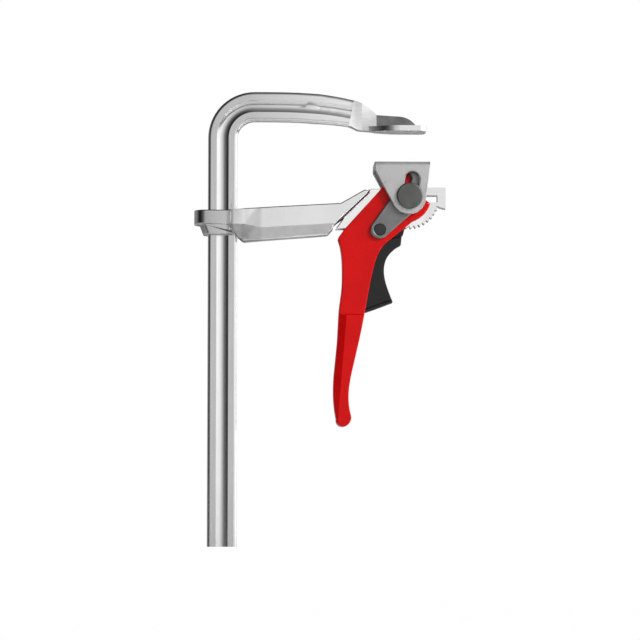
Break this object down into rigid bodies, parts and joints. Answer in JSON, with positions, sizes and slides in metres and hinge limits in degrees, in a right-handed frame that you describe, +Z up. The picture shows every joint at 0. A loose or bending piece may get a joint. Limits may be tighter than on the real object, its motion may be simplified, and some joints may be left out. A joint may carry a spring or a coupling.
{
  "type": "quick release bar clamp",
  "caption": "All-steel lever clamp: profiled rail with a forged fixed jaw, a sliding arm, and a ratcheting cam lever with a release trigger that lifts a pressure bracket.",
  "frame": {"origin": "on the fixed jaw's clamping face, over the middle of the pressure bracket", "axes": "+X from the rail to the jaws' tips, +Z up along the rail to the top arm, +Y across the clamp away from the pin's head"},
  "size_m": [0.1888, 0.035, 0.3414],
  "materials": {
    "rail_steel": "satin",
    "forged_steel": "satin",
    "red_paint": "gloss",
    "plate_steel": "satin",
    "bracket_steel": "satin",
    "pin_steel": "satin",
    "pawl_steel": "satin",
    "spring_steel": "satin",
    "black_plastic": "matte"
  },
  "bodies": {
    "rail": {"rail": "rail_steel"},
    "arm": {"sliding_arm": "forged_steel"},
    "lever": {"lever": "red_paint", "cam_plate_front": "plate_steel", "cam_plate_rear": "plate_steel", "pawl_pin": "pin_steel", "pawl_spring": "spring_steel"},
    "pawl": {"pawl": "pawl_steel", "trigger": "black_plastic"},
    "pin": {"main_pin": "pin_steel", "main_pin_disc": "pin_steel"},
    "bracket": {"pressure_bracket": "bracket_steel"}
  },
  "joints": [
    {"name": "arm_slide", "type": "slide", "parent": "rail", "child": "arm", "axis": [0, 0, 1], "range_m": [-0.224, 0.019]},
    {"name": "lever_swing", "type": "hinge", "parent": "arm", "child": "lever", "pos_m": [0.0052, 0, -0.0498], "axis": [0, -1, 0], "range_deg": [0, 80]},
    {"name": "pawl_swing", "type": "hinge", "parent": "lever", "child": "pawl", "pos_m": [-0.0171, 0, -0.0747], "axis": [0, 1, 0], "range_deg": [-4.2, 4], "stiffness_Nm_per_rad": 0.8},
    {"name": "bracket_tilt", "type": "hinge", "parent": "arm", "child": "pin", "pos_m": [0.0052, 0, -0.0498], "axis": [0, 1, 0], "range_deg": [0, 10]},
    {"name": "bracket_lift", "type": "slide", "parent": "pin", "child": "bracket", "axis": [0.1564, 0, 0.9877], "range_m": [-0.0068, 0]}
  ],
  "couplings": [
    {"joint": "bracket_lift", "follows": "lever_swing", "m_per_rad": -0.004799}
  ]
}
